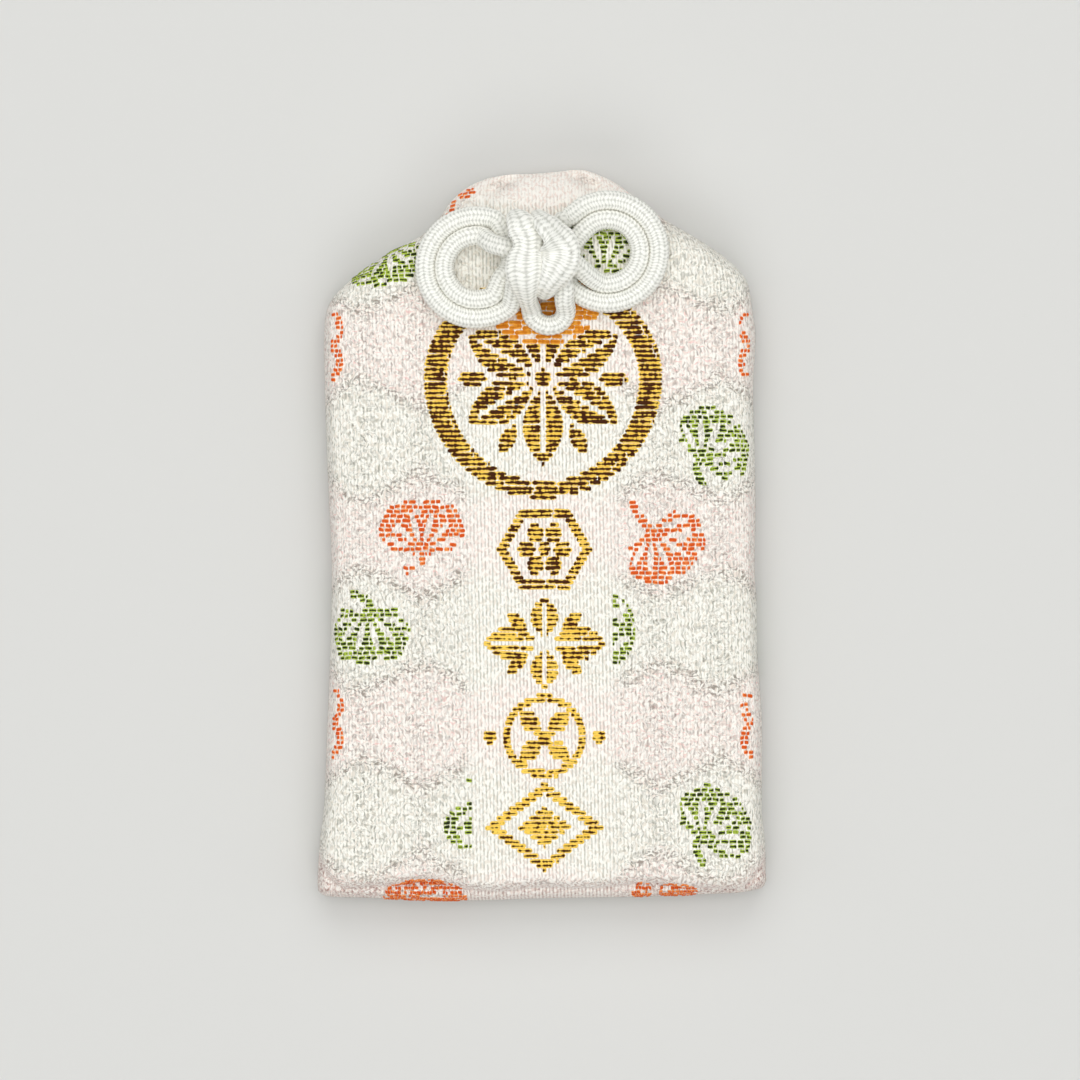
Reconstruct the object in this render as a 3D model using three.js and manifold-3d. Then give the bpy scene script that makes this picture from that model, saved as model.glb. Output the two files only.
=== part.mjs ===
// Omamori charm: a brocade pouch sewn over a card and a wrapped wooden slip, with a braided cord
// tied in a double knot at its neck. Millimetres. The charm lies on its back:
// +X to its right, +Y towards the neck, +Z out of the front, and the back rests on Z = 0.
import * as THREE from 'three';
import { mergeVertices } from 'three/addons/utils/BufferGeometryUtils.js';
import Module from 'manifold-3d';

// Pouch outline
const POUCH_HEIGHT = 75;
const POUCH_WIDTH = 44.4;
const SHOULDER_DROP = 13.3;
const NECK_WIDTH = 14.4;
const SHOULDER_ROUND = 6;
const NECK_ROUND = 3;
const HEM_HEIGHT = 2.4;
const HEM_WIDTH = 46;
const HEM_ROUND = 1.2;
const FLARE_HEIGHT = 12;

// Cloth and what it covers, from the back to the front
const CLEARANCE = 0.3;
const CLOTH = 0.6;
const LINING = 0.3;
const CARD = 0.6;
const PAPER = 0.2;
const SLIP = 0.7;
const BACK_BULGE = 1.2;
const FRONT_ROLL = 8;
const BACK_ROLL = 4;

// Inner pieces, seen from the front
const CARD_MARGIN = 4;
const CARD_NECK_MARGIN = 6.7;
const SLEEVE_WIDTH = 29;
const SLEEVE_LENGTH = 46;
const SLEEVE_OVERLAP = 9;
const SLIP_WIDTH = 24;
const SLIP_TRAVEL = 2;
const SLIP_POINT = 6;

// Seam sewing
const THREAD_DIAMETER = 0.4;
const STITCH = 3;
const STITCH_WAVE = 0.1;

// Cord and knot
const CORD_DIAMETER = 1.5;
const LAYER = 1.93;
const KNOT_X = 0.3;
const KNOT_DROP = 8.8;
const LEFT_EAR = { x: -7.1, y: -1.25, outer: 5.27, inner: 3.3 };
const RIGHT_EAR = { x: 6.4, y: 0.38, outer: 5.27, inner: 3.3 };
const LIFT_ROW = 4.7;
const HOLE_ROW = 3.6;
const LEFT_HOLE = -0.7;
const RIGHT_HOLE = 1.65;
const TAIL_DEPTH = 4;

// Mesh fineness
const OUTLINE_STEP = 5.5;
const CORNER_STEPS = 3;
const PANEL_RINGS = [0.985, 0.955, 0.91, 0.85, 0.77, 0.66, 0.45];
const CORD_SIDES = 8;
const CORD_STEP = 0.75;
const THREAD_SIDES = 5;

const CLOTH_COLOUR = '#f3e6e2';
const LINING_COLOUR = '#efece4';
const CARD_COLOUR = '#cdbfa6';
const PAPER_COLOUR = '#f4f0e6';
const WOOD_COLOUR = '#d9b98c';
const CORD_COLOUR = '#f2f3ee';

const wasm = await Module();
wasm.setup();

const cordRadius = CORD_DIAMETER / 2;
const threadRadius = THREAD_DIAMETER / 2;
const halfHeight = POUCH_HEIGHT / 2;

// The house shape that the card fills: its straight edges run along the inside of the hem,
// up the sides, over the sloping shoulders and across the neck.
const houseCorners = [
  new THREE.Vector2(-POUCH_WIDTH / 2, HEM_HEIGHT - halfHeight),
  new THREE.Vector2(POUCH_WIDTH / 2, HEM_HEIGHT - halfHeight),
  new THREE.Vector2(POUCH_WIDTH / 2, halfHeight - SHOULDER_DROP),
  new THREE.Vector2(NECK_WIDTH / 2, halfHeight),
  new THREE.Vector2(-NECK_WIDTH / 2, halfHeight),
  new THREE.Vector2(-POUCH_WIDTH / 2, halfHeight - SHOULDER_DROP),
];
const houseRounds = [HEM_ROUND, HEM_ROUND, SHOULDER_ROUND, NECK_ROUND, NECK_ROUND, SHOULDER_ROUND];

// The cloth goes on below the house as a flat hem, a little wider at its corners.
const clothCorners = [
  new THREE.Vector2(-HEM_WIDTH / 2, -halfHeight),
  new THREE.Vector2(HEM_WIDTH / 2, -halfHeight),
  new THREE.Vector2(POUCH_WIDTH / 2, FLARE_HEIGHT - halfHeight),
  ...houseCorners.slice(2),
  new THREE.Vector2(-POUCH_WIDTH / 2, FLARE_HEIGHT - halfHeight),
];
const clothRounds = [HEM_ROUND, HEM_ROUND, FLARE_HEIGHT / 2, ...houseRounds.slice(2), FLARE_HEIGHT / 2];

// Outward normal of the edge that starts at a corner of an anticlockwise outline.
function edgeNormal(corners, index) {
  const along = corners[(index + 1) % corners.length].clone().sub(corners[index]).normalize();
  return new THREE.Vector2(along.y, -along.x);
}

// Moves every edge of an outline inwards, each by its own margin.
function insetCorners(corners, margins) {
  return corners.map((corner, index) => {
    const before = (index + corners.length - 1) % corners.length;
    const first = edgeNormal(corners, before);
    const second = edgeNormal(corners, index);
    const cross = first.x * second.y - first.y * second.x;
    const moved = new THREE.Vector2(
      (margins[before] * second.y - margins[index] * first.y) / cross,
      (margins[index] * first.x - margins[before] * second.x) / cross,
    );
    return corner.clone().sub(moved);
  });
}

function houseInset(margin, neckMargin = margin) {
  return insetCorners(houseCorners, [margin, margin, margin, neckMargin, margin, margin]);
}

// Points of a rounded outline, close enough together for the cloth to curve between them.
function outlinePoints(corners, rounds) {
  const bends = corners.map((corner, index) => {
    const before = corners[(index + corners.length - 1) % corners.length];
    const after = corners[(index + 1) % corners.length];
    const reach = Math.min(rounds[index], corner.distanceTo(before) / 2.2, corner.distanceTo(after) / 2.2);
    const start = corner.clone().add(before.clone().sub(corner).setLength(reach));
    const end = corner.clone().add(after.clone().sub(corner).setLength(reach));
    return new THREE.QuadraticBezierCurve(start, corner, end);
  });
  return bends.flatMap((bend, index) => {
    const next = bends[(index + 1) % bends.length];
    const run = new THREE.LineCurve(bend.v2, next.v0);
    const steps = Math.max(1, Math.round(run.getLength() / OUTLINE_STEP));
    return [...bend.getPoints(CORNER_STEPS), ...run.getPoints(steps).slice(1, -1)];
  });
}

// Distance from a point to the nearest edge of the rounded house shape, zero outside it.
const houseOutline = outlinePoints(houseCorners, houseRounds);
const houseNormals = houseOutline.map((point, index) => edgeNormal(houseOutline, index));
function edgeDistance(point) {
  const distances = houseOutline.map((start, index) => start.clone().sub(point).dot(houseNormals[index]));
  return Math.max(0, Math.min(...distances));
}

// The cloth rolls up from its sewn edge and levels out over what is inside.
function rise(share) {
  const left = 1 - THREE.MathUtils.clamp(share, 0, 1);
  return 1 - left ** 2.2;
}

// Heights, worked out from the stack of layers
const seamHeight = CLEARANCE / 2 + CLOTH + BACK_BULGE;
const liningDepth = CLOTH + CLEARANCE;
const contentDepth = liningDepth + LINING;

// Height of the back layer whose outside lies at a depth in from the back's outer face.
function backHeight(depth, distance) {
  const rolled = BACK_BULGE * rise((distance - depth) / BACK_ROLL);
  return seamHeight - CLEARANCE / 2 - CLOTH + depth - rolled;
}

const cardBottom = backHeight(contentDepth, CARD_MARGIN) + CLEARANCE;
const sleeveBottom = cardBottom + CARD + CLEARANCE;
const sleeveThickness = 3 * PAPER + SLIP + 3 * CLEARANCE;
const sleeveTop = sleeveBottom + sleeveThickness;
const sleeveEdge = (POUCH_WIDTH - SLEEVE_WIDTH) / 2;
const frontBase = seamHeight + CLEARANCE / 2 + CLOTH;
const frontCrown = (sleeveTop + CLEARANCE + contentDepth - frontBase)
  / rise((sleeveEdge - contentDepth) / FRONT_ROLL);

// Height of the front layer whose outside lies at a depth in from the front's outer face.
function frontHeight(depth, distance) {
  return frontBase - depth + frontCrown * rise((distance - depth) / FRONT_ROLL);
}

const pouchTop = frontBase + frontCrown;
const knotRest = pouchTop + CLEARANCE + cordRadius;

// A closed sheet of cloth: rings of points shrink from the outline to its middle, once over the
// outer face and once over the inner face, whose outline is drawn in by innerScale. An edge as deep
// as the sheet runs round the outline.
function clothSheet(outline, outerHeight, innerHeight, innerScale) {
  const rings = [1, ...PANEL_RINGS];
  const positions = [];
  const indices = [];
  const count = outline.length;
  const addRing = (height, scale) => {
    const first = positions.length / 3;
    for (const point of outline) {
      const at = point.clone().multiplyScalar(scale);
      positions.push(at.x, at.y, height(edgeDistance(at)));
    }
    return first;
  };
  const joinRings = (near, far, outward) => {
    for (let i = 0; i < count; i += 1) {
      const j = (i + 1) % count;
      const [a, b] = outward ? [i, j] : [j, i];
      indices.push(near + a, near + b, far + b, near + a, far + b, far + a);
    }
  };
  const addFace = (height, scale, outward) => {
    const first = rings.map((ring) => addRing(height, ring * scale));
    for (let ring = 1; ring < first.length; ring += 1) joinRings(first[ring - 1], first[ring], outward);
    const last = first[first.length - 1];
    const middle = positions.length / 3;
    positions.push(0, 0, height(edgeDistance(new THREE.Vector2())));
    for (let i = 0; i < count; i += 1) {
      const j = (i + 1) % count;
      if (outward) indices.push(last + i, last + j, middle);
      else indices.push(last + j, last + i, middle);
    }
    return first[0];
  };
  const outer = addFace(outerHeight, 1, true);
  const inner = addFace(innerHeight, innerScale, false);
  const edge = addRing(innerHeight, 1);
  joinRings(edge, outer, true);
  joinRings(inner, edge, true);
  const geometry = new THREE.BufferGeometry();
  geometry.setAttribute('position', new THREE.Float32BufferAttribute(positions, 3));
  geometry.setIndex(indices);
  return geometry;
}

// Turns a closed sheet over, so that what was built for the front serves the back.
function turnedOver(geometry) {
  const index = geometry.getIndex();
  for (let i = 0; i < index.count; i += 3) {
    const second = index.getX(i + 1);
    index.setX(i + 1, index.getX(i + 2));
    index.setX(i + 2, second);
  }
  return geometry;
}

function solid(geometry) {
  const bare = geometry.clone();
  bare.deleteAttribute('normal');
  bare.deleteAttribute('uv');
  const merged = mergeVertices(bare, 1e-4);
  return new wasm.Manifold(new wasm.Mesh({
    numProp: 3,
    vertProperties: Float32Array.from(merged.getAttribute('position').array),
    triVerts: Uint32Array.from(merged.getIndex().array),
  }));
}

function geometryOf(body) {
  const mesh = body.getMesh();
  const geometry = new THREE.BufferGeometry();
  geometry.setAttribute('position', new THREE.Float32BufferAttribute(mesh.vertProperties, 3));
  geometry.setIndex(Array.from(mesh.triVerts));
  return geometry;
}

// Round tube along a curve, closed at both ends.
function tube(curve, radius, sides, steps) {
  const section = new THREE.Shape();
  for (let side = 0; side < sides; side += 1) {
    const turn = (2 * Math.PI * side) / sides;
    const x = radius * Math.cos(turn);
    const y = radius * Math.sin(turn);
    if (side === 0) section.moveTo(x, y);
    else section.lineTo(x, y);
  }
  section.closePath();
  return new THREE.ExtrudeGeometry(section, { steps, extrudePath: curve });
}

function smoothCurve(points) {
  const curve = new THREE.CatmullRomCurve3(points, false, 'catmullrom', 0.5);
  curve.arcLengthDivisions = 2000;
  return curve;
}

const charm = new THREE.Group();

function addPiece(name, geometry, colour, roughness) {
  geometry.computeVertexNormals();
  const material = new THREE.MeshStandardMaterial({ color: colour, roughness, metalness: 0 });
  const piece = new THREE.Mesh(geometry, material);
  piece.name = name;
  charm.add(piece);
}

// Brocade panels
const clothOutline = outlinePoints(clothCorners, clothRounds);
const clothInner = 1 - CLOTH / (POUCH_WIDTH / 2);
const frontCloth = clothSheet(
  clothOutline,
  (distance) => frontHeight(0, distance),
  (distance) => Math.max(frontHeight(CLOTH, distance), frontBase - CLOTH),
  clothInner,
);
const backCloth = turnedOver(clothSheet(
  clothOutline,
  (distance) => backHeight(0, distance),
  (distance) => Math.min(backHeight(CLOTH, distance), seamHeight - CLEARANCE / 2),
  clothInner,
));

// Interlinings, a little smaller than the panels so that the sewing has room
const liningMargin = CLOTH + 3 * CLEARANCE + THREAD_DIAMETER;
const liningOutline = outlinePoints(houseInset(liningMargin), houseRounds);
const liningInner = 1 - LINING / (POUCH_WIDTH / 2);
const frontLining = clothSheet(
  liningOutline,
  (distance) => frontHeight(liningDepth, distance),
  (distance) => frontHeight(contentDepth, distance),
  liningInner,
);
const backLining = turnedOver(clothSheet(
  liningOutline,
  (distance) => backHeight(liningDepth, distance),
  (distance) => backHeight(contentDepth, distance),
  liningInner,
));

// Two round holes at the neck let the tails of the cord in.
const knotMiddle = new THREE.Vector2(KNOT_X, halfHeight - KNOT_DROP);
const holeRow = knotMiddle.y + HOLE_ROW;
const holes = [LEFT_HOLE, RIGHT_HOLE].map((across) => {
  const hole = new THREE.CylinderGeometry(cordRadius + CLEARANCE, cordRadius + CLEARANCE, pouchTop, 12);
  hole.rotateX(Math.PI / 2);
  hole.translate(knotMiddle.x + across, holeRow, seamHeight + CLEARANCE + pouchTop / 2);
  return solid(hole);
});
const pierced = (geometry) => geometryOf(solid(geometry).subtract(holes[0]).subtract(holes[1]));
addPiece('front_panel', pierced(frontCloth), CLOTH_COLOUR, 0.75);
addPiece('back_panel', backCloth, CLOTH_COLOUR, 0.75);
addPiece('front_lining', pierced(frontLining), LINING_COLOUR, 0.9);
addPiece('back_lining', backLining, LINING_COLOUR, 0.9);

// Sewing along the inside of the seams: a thread that waves from stitch to stitch
const seamCorners = houseInset(CLOTH + CLEARANCE + threadRadius);
const [hemLeft, hemRight, shoulderRight, , , shoulderLeft] = seamCorners;
function seamThread(from, to) {
  const length = from.distanceTo(to);
  const stitches = Math.round(length / STITCH);
  const points = [];
  for (let half = 0; half <= 2 * stitches; half += 1) {
    const at = from.clone().lerp(to, half / (2 * stitches));
    points.push(new THREE.Vector3(at.x, at.y, seamHeight + STITCH_WAVE * (half % 2 ? 1 : -1)));
  }
  return tube(smoothCurve(points), threadRadius, THREAD_SIDES, 4 * stitches);
}
const seamEnd = STITCH;
const alongSide = new THREE.Vector2(0, seamEnd);
const alongHem = new THREE.Vector2(seamEnd, 0);
const seams = {
  left_seam_thread: [hemLeft.clone().add(alongSide), shoulderLeft.clone().sub(alongSide)],
  right_seam_thread: [hemRight.clone().add(alongSide), shoulderRight.clone().sub(alongSide)],
  bottom_seam_thread: [hemLeft.clone().add(alongHem), hemRight.clone().sub(alongHem)],
};
for (const [name, [from, to]] of Object.entries(seams)) {
  addPiece(name, seamThread(from, to), CORD_COLOUR, 0.8);
}

// Stiffener card, cut to the house shape and ending short of the neck holes
const cardShape = new THREE.Shape(
  outlinePoints(houseInset(CARD_MARGIN, CARD_NECK_MARGIN), houseRounds),
);
const card = new THREE.ExtrudeGeometry(cardShape, { depth: CARD, bevelEnabled: false });
card.translate(0, 0, cardBottom);
addPiece('stiffener_card', card, CARD_COLOUR, 0.9);

// Paper sleeve: one sheet folded round the slip, its two edges lapped at the back
const halfSleeve = SLEEVE_WIDTH / 2;
const lap = SLEEVE_OVERLAP / 2;
const innerFlap = PAPER + CLEARANCE;
const sleeveSection = new THREE.Shape([
  new THREE.Vector2(lap, 0),
  new THREE.Vector2(lap, PAPER),
  new THREE.Vector2(PAPER - halfSleeve, PAPER),
  new THREE.Vector2(PAPER - halfSleeve, sleeveThickness - PAPER),
  new THREE.Vector2(halfSleeve - PAPER, sleeveThickness - PAPER),
  new THREE.Vector2(halfSleeve - PAPER, innerFlap + PAPER),
  new THREE.Vector2(-lap, innerFlap + PAPER),
  new THREE.Vector2(-lap, innerFlap),
  new THREE.Vector2(halfSleeve, innerFlap),
  new THREE.Vector2(halfSleeve, sleeveThickness),
  new THREE.Vector2(-halfSleeve, sleeveThickness),
  new THREE.Vector2(-halfSleeve, 0),
]);
const sleeve = new THREE.ExtrudeGeometry(sleeveSection, { depth: SLEEVE_LENGTH, bevelEnabled: false });
const sleeveFoot = HEM_HEIGHT - halfHeight + sleeveEdge;
sleeve.rotateX(Math.PI / 2);
sleeve.translate(0, sleeveFoot + SLEEVE_LENGTH, sleeveBottom);
addPiece('paper_sleeve', sleeve, PAPER_COLOUR, 0.85);

// Wooden slip with a pointed head, loose enough in its sleeve to shift along it
const slipLength = SLEEVE_LENGTH - SLIP_TRAVEL - CLEARANCE;
const halfSlip = SLIP_WIDTH / 2;
const slipShape = new THREE.Shape([
  new THREE.Vector2(-halfSlip, 0),
  new THREE.Vector2(halfSlip, 0),
  new THREE.Vector2(halfSlip, slipLength - SLIP_POINT),
  new THREE.Vector2(0, slipLength),
  new THREE.Vector2(-halfSlip, slipLength - SLIP_POINT),
]);
const slip = new THREE.ExtrudeGeometry(slipShape, { depth: SLIP, bevelEnabled: false });
slip.translate(0, sleeveFoot + CLEARANCE, sleeveBottom + innerFlap + PAPER + CLEARANCE);
addPiece('prayer_slip', slip, WOOD_COLOUR, 0.7);

// The knot's route, in millimetres from its middle across and up, and in layers of cord above its
// rest on the cloth. The ears are arcs, clockwise on the left and anticlockwise on the right.
function earTurn(ear, radius, fromDegrees, toDegrees, steps) {
  const points = [];
  for (let step = 0; step <= steps; step += 1) {
    const turn = THREE.MathUtils.degToRad(fromDegrees + ((toDegrees - fromDegrees) * step) / steps);
    points.push([ear.x + radius * Math.cos(turn), ear.y + radius * Math.sin(turn), 0]);
  }
  return points;
}

const rightWrap = [
  [LEFT_HOLE, HOLE_ROW, 0], [-0.72, 3.72, 0.75], [-0.35, 3.45, 1.55], [0.55, 2.95, 2.05], [1.55, 1.9, 2.12],
  [2.05, 0.55, 2.12], [1.85, -0.9, 2.1], [1.11, -2.2, 2.05], [0.25, -3.18, 1.76], [-0.07, -3.66, 0.96],
];
const passBehind = [
  [-0.01, -3.14, 0.15], [0.25, -1.9, 0], [0.25, -0.6, 0], [-0.39, 0.61, 0], [-1.49, 1.63, 0], [-2.37, 2.6, 0.15],
];
const leftWrap = [
  [-2.81, 3.58, 0.6], [-2.85, 3.75, 1.35], [-2.55, 3.15, 1.95], [-2.3, 2.1, 2.1], [-2.3, 0.9, 2.1],
  [-2.45, -0.4, 2.12], [-2.4, -1.8, 2.1], [-2.18, -3.09, 1.8], [-1.83, -4.47, 1.05],
];
const smallLoop = [
  [-1.49, -5.46, 0.23], [-1.21, -6.39, 0], [-0.4, -7.05, 0], [0.6, -7.2, 0], [1.6, -6.75, 0], [2.1, -5.75, 0.2],
  [1.92, -4.57, 0.75],
];
const lowerPass = [
  [1.87, -3.14, 0.99], [0.94, -1.89, 0.99], [-0.51, -1.43, 1.01], [-2, -1.57, 1], [-3, -2.5, 0.8],
  [-3.23, -3.83, 0.4],
];
const leftClosing = [[-4.6, 2.82, 0], [-4.04, 1.58, 0], [-3.52, 0.21, 0], [-3.78, -1.31, 0], [-4.63, -2.57, 0]];
const middlePass = [
  [-5.65, 1.28, 0.59], [-4.32, 0.82, 0.99], [-2.89, 0.55, 1.01], [-1.2, 0.54, 1.01], [0.6, 0.45, 1.01],
  [2.11, -0.2, 1.03], [3.41, -1.2, 0.87], [4.5, -2.15, 0.4],
];
const rightClosing = [[3.9, 2.5, 0], [2.9, 1.2, 0], [2.39, -0.4, 0], [2.4, -1.9, 0]];
const rightTail = [[RIGHT_HOLE, HOLE_ROW, 0]];
const route = [
  ...rightWrap, ...passBehind, ...leftWrap, ...smallLoop, ...lowerPass,
  ...earTurn(LEFT_EAR, LEFT_EAR.outer, -50, -290, 14), ...leftClosing,
  ...earTurn(LEFT_EAR, LEFT_EAR.inner, -58, -280, 12), ...middlePass,
  ...earTurn(RIGHT_EAR, RIGHT_EAR.inner, 258, 475, 12), ...rightClosing,
  ...earTurn(RIGHT_EAR, RIGHT_EAR.outer, 222, 495, 15), ...rightTail,
];
const knotCurve = smoothCurve(route.map(([across, up, layer]) =>
  new THREE.Vector3(knotMiddle.x + across, knotMiddle.y + up, knotRest + LAYER * layer)));

// Least clear space between stretches of the cord that aren't neighbours along it.
function leastGap(curve, diameter) {
  const length = curve.getLength();
  const count = Math.round(length / 0.2);
  const points = curve.getSpacedPoints(count);
  const apart = Math.ceil((2.3 * diameter) / (length / count));
  let least = Infinity;
  for (let i = 0; i < points.length; i += 1) {
    for (let j = i + apart; j < points.length; j += 1) {
      least = Math.min(least, points[i].distanceTo(points[j]) - diameter);
    }
  }
  return least;
}
const knotLength = knotCurve.getLength();
console.log(`knot cord: ${knotLength.toFixed(1)} mm long, least gap to itself `
  + `${leastGap(knotCurve, CORD_DIAMETER).toFixed(2)} mm`);
addPiece('knot_cord', tube(knotCurve, cordRadius, CORD_SIDES, Math.round(knotLength / CORD_STEP)), CORD_COLOUR, 0.7);

// The two tails go in through the holes and are joined in a bend behind the front panel.
const tailTop = knotRest - cordRadius - CLEARANCE;
const tailMiddle = (LEFT_HOLE + RIGHT_HOLE) / 2;
const tailRoute = [
  [LEFT_HOLE, 0], [LEFT_HOLE, TAIL_DEPTH / 2], [LEFT_HOLE + 0.3, TAIL_DEPTH * 0.8], [tailMiddle, TAIL_DEPTH],
  [RIGHT_HOLE - 0.3, TAIL_DEPTH * 0.8], [RIGHT_HOLE, TAIL_DEPTH / 2], [RIGHT_HOLE, 0],
];
const tailCurve = smoothCurve(tailRoute.map(([across, down]) =>
  new THREE.Vector3(knotMiddle.x + across, holeRow, tailTop - down)));
const tailSteps = Math.round(tailCurve.getLength() / CORD_STEP);
addPiece('neck_cord', tube(tailCurve, cordRadius, CORD_SIDES, tailSteps), CORD_COLOUR, 0.7);

// The knot lifts about the row where its cords fold, a little above the holes.
const liftRow = knotMiddle.y + LIFT_ROW;
console.log(`pouch ${pouchTop.toFixed(2)} mm thick, hinge of the knot at Y ${liftRow.toFixed(2)}, `
  + `Z ${knotRest.toFixed(2)} mm`);

export default charm;
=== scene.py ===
import math

import bpy
import numpy as np
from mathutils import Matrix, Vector
from mathutils.bvhtree import BVHTree
from mathutils.geometry import barycentric_transform


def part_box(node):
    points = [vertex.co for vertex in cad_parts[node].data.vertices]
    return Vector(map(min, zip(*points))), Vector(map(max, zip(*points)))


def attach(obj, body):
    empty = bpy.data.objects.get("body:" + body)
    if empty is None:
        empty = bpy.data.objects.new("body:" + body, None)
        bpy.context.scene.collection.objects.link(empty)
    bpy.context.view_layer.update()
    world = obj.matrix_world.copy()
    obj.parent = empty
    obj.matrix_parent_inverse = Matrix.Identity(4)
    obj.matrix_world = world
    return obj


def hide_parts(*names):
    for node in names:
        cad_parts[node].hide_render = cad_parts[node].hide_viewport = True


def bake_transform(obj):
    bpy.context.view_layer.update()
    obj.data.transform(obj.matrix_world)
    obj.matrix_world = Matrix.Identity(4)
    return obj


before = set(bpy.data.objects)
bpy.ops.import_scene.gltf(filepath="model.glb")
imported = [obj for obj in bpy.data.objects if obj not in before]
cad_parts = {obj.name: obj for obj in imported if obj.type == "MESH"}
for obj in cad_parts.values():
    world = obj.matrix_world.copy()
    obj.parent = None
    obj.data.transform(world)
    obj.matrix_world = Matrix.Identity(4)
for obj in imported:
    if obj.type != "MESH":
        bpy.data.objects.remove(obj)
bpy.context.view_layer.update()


# Prayer slip: a thin blank of planed cypress with a pointed head. It lies loose in its paper
# sleeve and can shift a little along it.
MM = 0.001


class Value:
    """A node's output in a finish. Arithmetic on values adds Math nodes."""

    def __init__(self, finish, socket):
        self.finish = finish
        self.socket = socket

    def math(self, operation, *operands):
        return self.finish.node("ShaderNodeMath", {"operation": operation}, dict(enumerate(operands)))

    def __add__(self, other):
        return self.math("ADD", self, other)

    def __sub__(self, other):
        return self.math("SUBTRACT", self, other)

    def __rsub__(self, other):
        return self.math("SUBTRACT", other, self)

    def __mul__(self, other):
        return self.math("MULTIPLY", self, other)

    def __truediv__(self, other):
        return self.math("DIVIDE", self, other)

    def __mod__(self, other):
        return self.math("FLOORED_MODULO", self, other)

    def __pow__(self, other):
        return self.math("POWER", self, other)

    def __abs__(self):
        return self.math("ABSOLUTE", self)

    __radd__ = __add__
    __rmul__ = __mul__

    def least(self, other):
        return self.math("MINIMUM", self, other)

    def most(self, other):
        return self.math("MAXIMUM", self, other)

    def eased(self, low, high):
        """0 below low, 1 above high, with a smooth step between them."""
        settings = {"interpolation_type": "SMOOTHSTEP"}
        return self.finish.node("ShaderNodeMapRange", settings, {0: self, 1: low, 2: high})


class Finish:
    """A material, and the nodes that are added to it."""

    def __init__(self, name):
        self.material = bpy.data.materials.new(name)
        self.material.use_nodes = True
        self.tree = self.material.node_tree
        self.shader = self.tree.nodes["Principled BSDF"]

    def feed(self, node, sockets):
        for key, value in sockets.items():
            if isinstance(value, Value):
                self.tree.links.new(value.socket, node.inputs[key])
            else:
                node.inputs[key].default_value = value

    def node(self, kind, settings, sockets, output=0):
        made = self.tree.nodes.new(kind)
        for name, setting in settings.items():
            setattr(made, name, setting)
        self.feed(made, sockets)
        return Value(self, made.outputs[output])

    def between(self, share, first, second):
        """A colour between two, by a share from 0 to 1."""
        return self.node("ShaderNodeMix", {"data_type": "RGBA"}, {0: share, 6: first, 7: second}, 2)

    def object_place(self, scale):
        place = self.node("ShaderNodeTexCoord", {}, {}, "Object")
        return self.node("ShaderNodeMapping", {}, {"Vector": place, "Scale": scale})

    def noise(self, place, detail=2.0, roughness=0.5):
        return self.node("ShaderNodeTexNoise", {}, {
            "Vector": place, "Scale": 1.0, "Detail": detail, "Roughness": roughness,
        })

    def relief(self, height, depth, strength=1.0):
        return self.node("ShaderNodeBump", {}, {"Height": height, "Distance": depth, "Strength": strength})

    def put_on(self, *pieces):
        for piece in pieces:
            piece.data.materials.clear()
            piece.data.materials.append(self.material)


def colour(red, green, blue):
    """A colour as it looks on a screen, 0 to 255, in the linear values that the nodes take."""
    shares = [value / 255 for value in (red, green, blue)]
    return tuple(s / 12.92 if s <= 0.04045 else ((s + 0.055) / 1.055) ** 2.4 for s in shares) + (1.0,)


wood = Finish("planed_cypress")
grain = wood.noise(wood.object_place((900, 45, 900)), 4.0, 0.6)
growth = wood.noise(wood.object_place((260, 8, 260)))
rings = (growth * 9 % 1.0).eased(0.1, 0.95)
wood.feed(wood.shader, {
    "Base Color": wood.between(rings * 0.5 + grain * 0.4, colour(233, 206, 164), colour(203, 164, 112)),
    "Roughness": grain * 0.2 + 0.5,
    "Normal": wood.relief(grain + rings * 0.4, 0.05 * MM),
})
wood.put_on(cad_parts["prayer_slip"])


# Paper sleeve: one sheet of soft handmade paper, folded round the slip with its two edges lapped
# at the back.
paper = Finish("handmade_paper")
fibres = paper.noise(paper.object_place((700, 120, 700)), 5.0, 0.65)
pulp = paper.noise(paper.object_place((180, 180, 180)), 3.0)
paper.feed(paper.shader, {
    "Base Color": paper.between(fibres * 0.6 + pulp * 0.4, colour(229, 222, 205), colour(249, 246, 237)),
    "Roughness": pulp * 0.15 + 0.78,
    "Normal": paper.relief(fibres + pulp, 0.03 * MM),
})
paper.put_on(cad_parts["paper_sleeve"])


# Stiffener card: grey-brown board, cut to the pouch's house shape a little inside its seams. It lies
# loose behind the sleeve and keeps the charm flat.
board = Finish("grey_board")
flecks = board.noise(board.object_place((1500, 1500, 1500)), 2.0)
layers = board.noise(board.object_place((60, 60, 4000)), 3.0)
board.feed(board.shader, {
    "Base Color": board.between((flecks * 0.7 + layers * 0.3).eased(0.3, 0.7), colour(176, 160, 134),
                                colour(216, 203, 180)),
    "Roughness": flecks * 0.1 + 0.84,
    "Normal": board.relief(flecks, 0.03 * MM),
})
board.put_on(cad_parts["stiffener_card"])


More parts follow.
